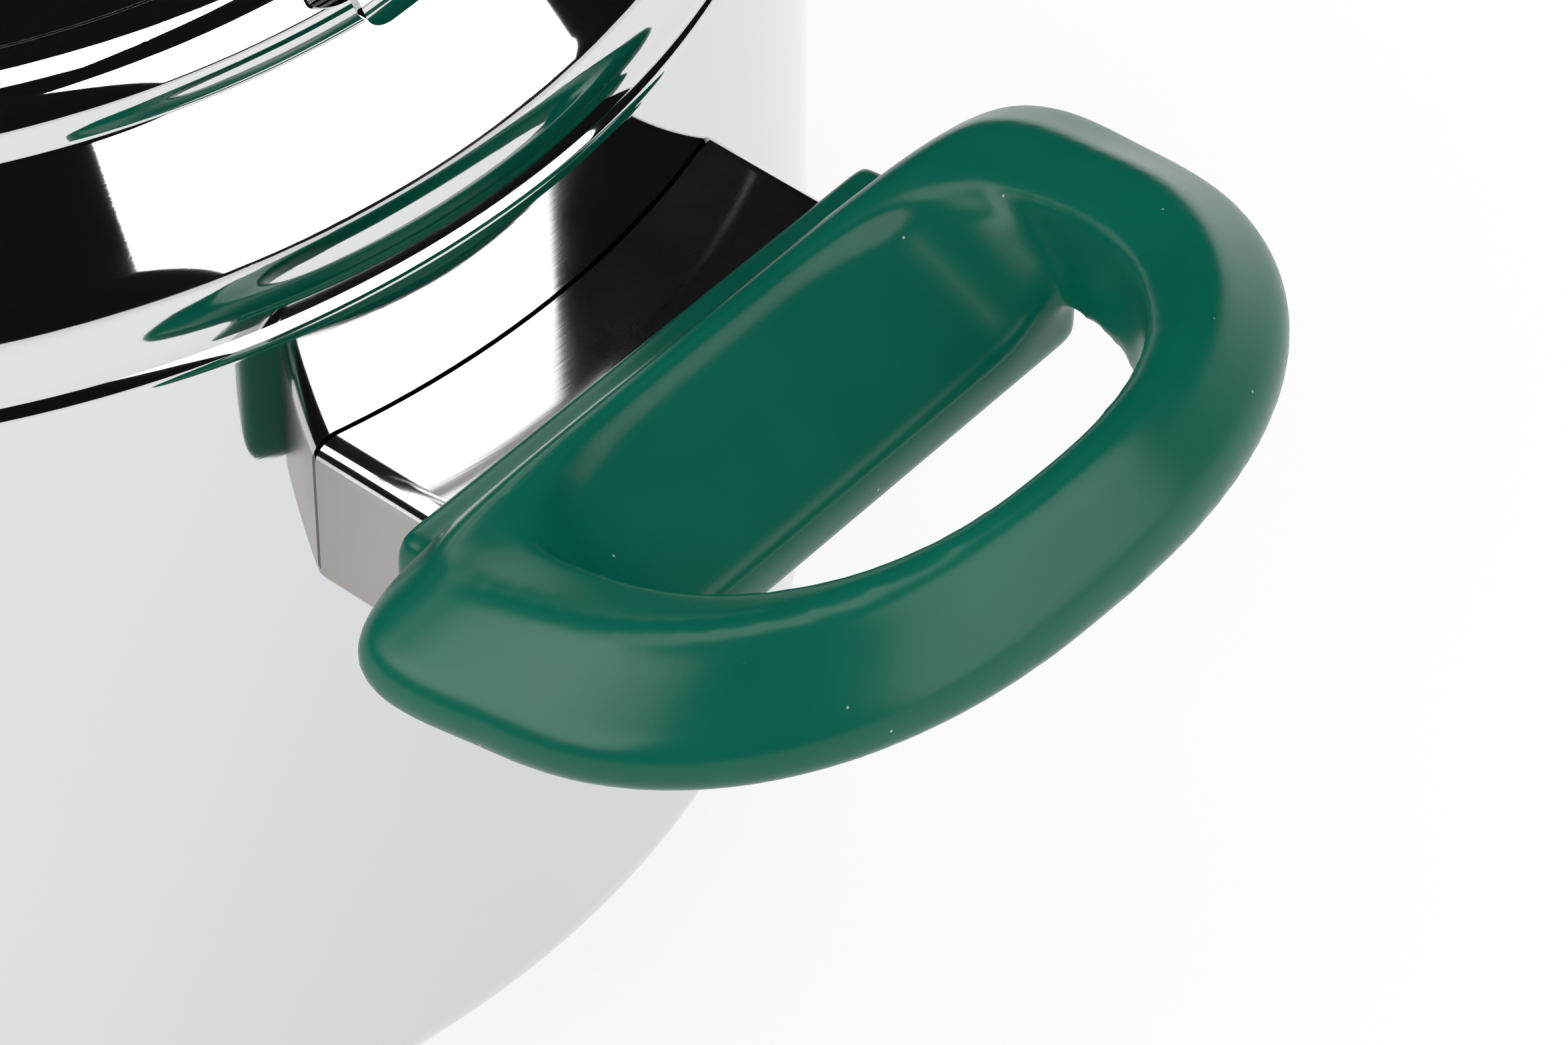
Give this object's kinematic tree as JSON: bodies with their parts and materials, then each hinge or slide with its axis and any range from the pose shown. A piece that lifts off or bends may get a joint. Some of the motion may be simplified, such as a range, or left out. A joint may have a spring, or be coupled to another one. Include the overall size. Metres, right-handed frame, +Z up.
{
  "type": "stovetop pressure cooker",
  "caption": "Polished steel stovetop pressure cooker with a flush bayonet lid, long green handles, a looped green helper handle, a pressure dial, a vent and a safety valve.",
  "frame": {"origin": "centre of the underside of the pot", "axes": "+Z up along the pot's axis, +X towards the helper handle"},
  "size_m": [0.4816, 0.2675, 0.182],
  "materials": {
    "polished_steel": "polished stainless steel",
    "plain_steel": "turned or pressed stainless steel",
    "green_plastic": "satin moulded plastic",
    "dark_plastic": "satin moulded plastic",
    "silicone": "matt silicone rubber",
    "aluminium_core": "plain aluminium, hidden"
  },
  "bodies": {
    "pot": {"pot_body": "polished_steel", "base_cap": "polished_steel", "base_core": "aluminium_core", "helper_bracket": "polished_steel", "helper_handle": "green_plastic", "helper_screw": "plain_steel", "pot_bracket": "polished_steel", "pot_handle": "green_plastic", "pot_handle_screw": "plain_steel", "lock_catch": "plain_steel"},
    "seal": {"gasket": "silicone"},
    "lid": {"lid_shell": "polished_steel", "locating_tab": "polished_steel", "lid_bracket": "plain_steel", "lid_handle": "green_plastic", "lid_handle_cover": "green_plastic", "lid_handle_screws": "plain_steel", "cover_screws": "plain_steel", "valve_body": "plain_steel", "valve_seal": "silicone", "valve_nut": "plain_steel", "valve_cap": "plain_steel", "valve_spring": "plain_steel", "vent_body": "plain_steel", "vent_seal": "silicone", "vent_nut": "plain_steel", "safety_body": "plain_steel", "safety_seal": "silicone", "safety_nut": "plain_steel", "safety_cap": "plain_steel", "safety_spring": "plain_steel", "lock_spring": "plain_steel"},
    "lock": {"lock_slider": "dark_plastic", "lock_bolt": "plain_steel"},
    "dial": {"valve_dial": "dark_plastic"},
    "plunger": {"valve_plunger": "plain_steel"},
    "pin": {"vent_pin": "plain_steel"},
    "poppet": {"safety_poppet": "plain_steel"}
  },
  "joints": [
    {"name": "lid_lift", "type": "slide", "parent": "pot", "child": "seal", "axis": [0, 0, 1], "range_m": [0, 0.12]},
    {"name": "lid_turn", "type": "hinge", "parent": "seal", "child": "lid", "pos_m": [0, 0, 0.13], "axis": [0, 0, -1], "range_deg": [0, 30]},
    {"name": "lock_slide", "type": "slide", "parent": "lid", "child": "lock", "axis": [0.866, 0.5, 0], "range_m": [0, 0.008], "stiffness_N_per_m": 300, "deforming": ["lock_spring"]},
    {"name": "dial_turn", "type": "hinge", "parent": "lid", "child": "dial", "pos_m": [-0.02252, -0.013, 0.1655], "axis": [0, 0, 1], "range_deg": [0, 90]},
    {"name": "valve_lift", "type": "slide", "parent": "lid", "child": "plunger", "axis": [0, 0, 1], "range_m": [0, 0.003], "stiffness_N_per_m": 1000, "deforming": ["valve_spring"]},
    {"name": "vent_lift", "type": "slide", "parent": "lid", "child": "pin", "axis": [0, 0, 1], "range_m": [0, 0.005]},
    {"name": "safety_lift", "type": "slide", "parent": "lid", "child": "poppet", "axis": [0, 0, 1], "range_m": [0, 0.0025], "stiffness_N_per_m": 2000, "deforming": ["safety_spring"]}
  ]
}
